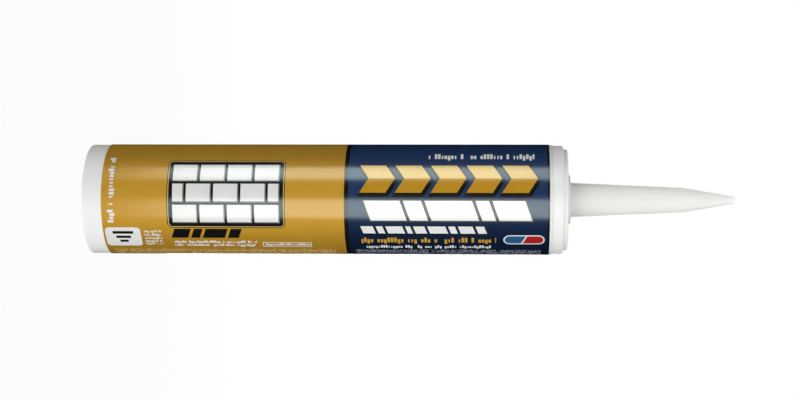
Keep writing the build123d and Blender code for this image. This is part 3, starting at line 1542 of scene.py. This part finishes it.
@dataclass
class Studio:
    """The pale floor, the white room, soft boxes, a dark curtain and the photograph's camera."""

    floor_half: float = 15.0
    floor_colour: Colour = (0.80, 0.80, 0.80)
    floor_shade: float = 0.07
    shade_start: float = 0.12
    shade_end: float = 0.8
    room_fill: float = 0.05
    curtain_radius: float = 1.1
    curtain_half: float = 1.8
    curtain_sides: int = 64
    level_box_size: float = 1.2
    level_boxes: tuple[tuple[str, float, float], ...] = (
        ("overhead_box", 1.25, 1.8),
        ("under_box", -0.9, 1.9),
    )
    camera_distance: float = 0.765
    camera_height: float = 0.18519
    camera_side: float = 0.000215
    camera_dip: float = 3.296
    camera_roll: float = 0.139
    lens: float = 75.568
    lamps: tuple[Lamp, ...] = (
        Lamp("side_box", -55.0, 27.5, -0.105, 0.26, 5.6, lights_body=False),
        Lamp("side_fill", -100.0, 50.0, -0.125, 0.36, 0.66, lights_gloss=False),
        Lamp("key_box", 19.0, 38.5, -0.105, 0.36, 4.9),
        Lamp("high_box", 10.0, 50.0, 0.62, 1.0, 1.9),
        Lamp("back_box", 176.0, 22.0, -0.105, 0.36, 4.5),
        Lamp("back_fill", 180.0, 90.0, -0.125, 0.36, 1.2, lights_gloss=False),
        Lamp("low_fill", 20.0, 60.0, -0.5, -0.1, 1.2, lights_gloss=False),
    )

    def build(self) -> None:
        """Sets up everything round the cartridge."""
        self.add_floor()
        self.light_room()
        self.hang_curtain()
        for lamp in self.lamps:
            lamp.build()
        for name, height, radiance in self.level_boxes:
            self.add_level_box(name, height, radiance)
        self.add_camera()
        bpy.context.scene.view_settings.view_transform = "Standard"

    @staticmethod
    def background_share(shader: Shader) -> Value:
        """Is 1 for what the camera sees of the background, directly, in gloss or through glass.

        Args:
            shader: The background's nodes.

        Returns:
            The share.
        """
        path = shader.node("ShaderNodeLightPath").outputs
        names = ("Is Camera Ray", "Is Glossy Ray", "Is Transmission Ray")
        camera, gloss, through = (Value(shader, path[name]) for name in names)
        return camera | gloss | through

    def add_floor(self) -> None:
        """Adds the floor: white to the camera, faintly shadowed, and clear from below."""
        Bench.clear()
        bpy.ops.mesh.primitive_grid_add(
            x_subdivisions=2, y_subdivisions=2, size=2 * self.floor_half
        )
        floor = bpy.context.object
        floor.name = "floor"
        shader = Shader("floor_paper")
        point = shader.node("ShaderNodeTexCoord").outputs["Object"]
        settings = {"operation": "LENGTH"}
        away = shader.number("ShaderNodeVectorMath", settings, {0: point}, "Value")
        near = ((self.shade_end - away) / (self.shade_end - self.shade_start)).clamped()
        white = self.background_share(shader) * (1.0 - self.floor_shade * near * near)
        shade = shader.surface("ShaderNodeBsdfDiffuse", Color=self.floor_colour)
        glow = shader.surface("ShaderNodeEmission", Strength=1.0)
        paper = shader.mixed(white, shade, glow)
        under = shader.node("ShaderNodeNewGeometry").outputs["Backfacing"]
        clear = shader.surface("ShaderNodeBsdfTransparent")
        Bench.dress(floor, shader.finish(shader.mixed(under, paper, clear)))
        floor.visible_shadow = False
        floor.visible_glossy = False

    def light_room(self) -> None:
        """Makes the room white where it is seen, and dim as a source of light."""
        world = bpy.data.worlds.new("room")
        bpy.context.scene.world = world
        world.use_nodes = True
        shader = Shader("room", world.node_tree)
        strength = self.room_fill + (1.0 - self.room_fill) * self.background_share(shader)
        white = (1.0, 1.0, 1.0)
        surface = shader.surface("ShaderNodeBackground", Color=white, Strength=strength)
        shader.node("ShaderNodeOutputWorld", None, {"Surface": surface})

    def hang_curtain(self) -> None:
        """Hangs a dark curtain round the set, which keeps the film's sheen dark at its sides."""
        Bench.clear()
        bpy.ops.mesh.primitive_cylinder_add(
            vertices=self.curtain_sides,
            radius=self.curtain_radius,
            depth=2 * self.curtain_half,
            end_fill_type="NOTHING",
        )
        curtain = bpy.context.object
        curtain.name = "curtain"
        shader = Shader("curtain_velvet")
        shade = shader.surface("ShaderNodeBsdfDiffuse", Color=(0.0, 0.0, 0.0))
        Bench.dress(curtain, shader.finish(shade))
        curtain.visible_camera = False
        curtain.visible_diffuse = False
        curtain.visible_transmission = False
        curtain.visible_shadow = False

    def add_level_box(self, name: str, height: float, radiance: float) -> None:
        """Adds a wide soft box that lies level and faces the cartridge.

        Args:
            name: The lamp's name.
            height: How high it is, in metres, or how far below the floor if negative.
            radiance: How bright it is.
        """
        lamp = add_light(name, self.level_box_size, self.level_box_size, radiance)
        lamp.location = (0.0, 0.0, height)
        if height < 0:
            lamp.rotation_euler = (math.pi, 0.0, 0.0)
        lamp.visible_glossy = False

    def add_camera(self) -> None:
        """Adds the camera, which is rolled so that the nozzle points right."""
        camera_data = bpy.data.cameras.new("photo_camera")
        camera_data.lens = self.lens
        camera = bpy.data.objects.new("photo_camera", camera_data)
        bpy.context.scene.collection.objects.link(camera)
        dip = math.radians(self.camera_dip)
        roll = math.radians(self.camera_roll)
        level = Vector((0.0, math.sin(dip), math.cos(dip)))
        upright = Vector((-1.0, 0.0, 0.0))
        right = level * math.cos(roll) + upright * math.sin(roll)
        up = upright * math.cos(roll) - level * math.sin(roll)
        turned = Matrix((right, up, right.cross(up))).transposed()
        place = Matrix.Translation((self.camera_side, -self.camera_distance, self.camera_height))
        camera.matrix_world = place @ turned.to_4x4()
        bpy.context.scene.camera = camera


def seat(piece: Piece, body: str, node: str) -> bpy.types.Object:
    """Makes a piece and fixes it to its body, in place of the node that it stands for.

    Args:
        piece: The piece, with its sizes and finish.
        body: The body that it rides on.
        node: The node that it replaces.

    Returns:
        The finished object.
    """
    made = piece.build()
    Bench.dress(made, piece.finish.material())
    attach(made, body)
    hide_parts(node)
    faces = len(made.data.polygons)
    log.info("%s rides on %s in place of %s, %d faces", made.name, body, node, faces)
    return made


def main() -> None:
    """Builds the cartridge's pieces in order, then the studio."""
    logging.basicConfig(level=logging.INFO, format="%(name)s: %(message)s")
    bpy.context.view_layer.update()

    seat(Barrel(), "cartridge", "barrel")
    seat(Film(), "cartridge", "label_film")
    seat(Head(), "cartridge", "head_with_nozzle")
    seat(Seal(), "cartridge", "inner_seal")
    seat(Plunger(), "plunger", "plunger")
    fill = Fill()
    column = seat(fill, "cartridge", "adhesive_fill")
    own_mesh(column)

    Studio().build()


if __name__ == "__main__":
    main()
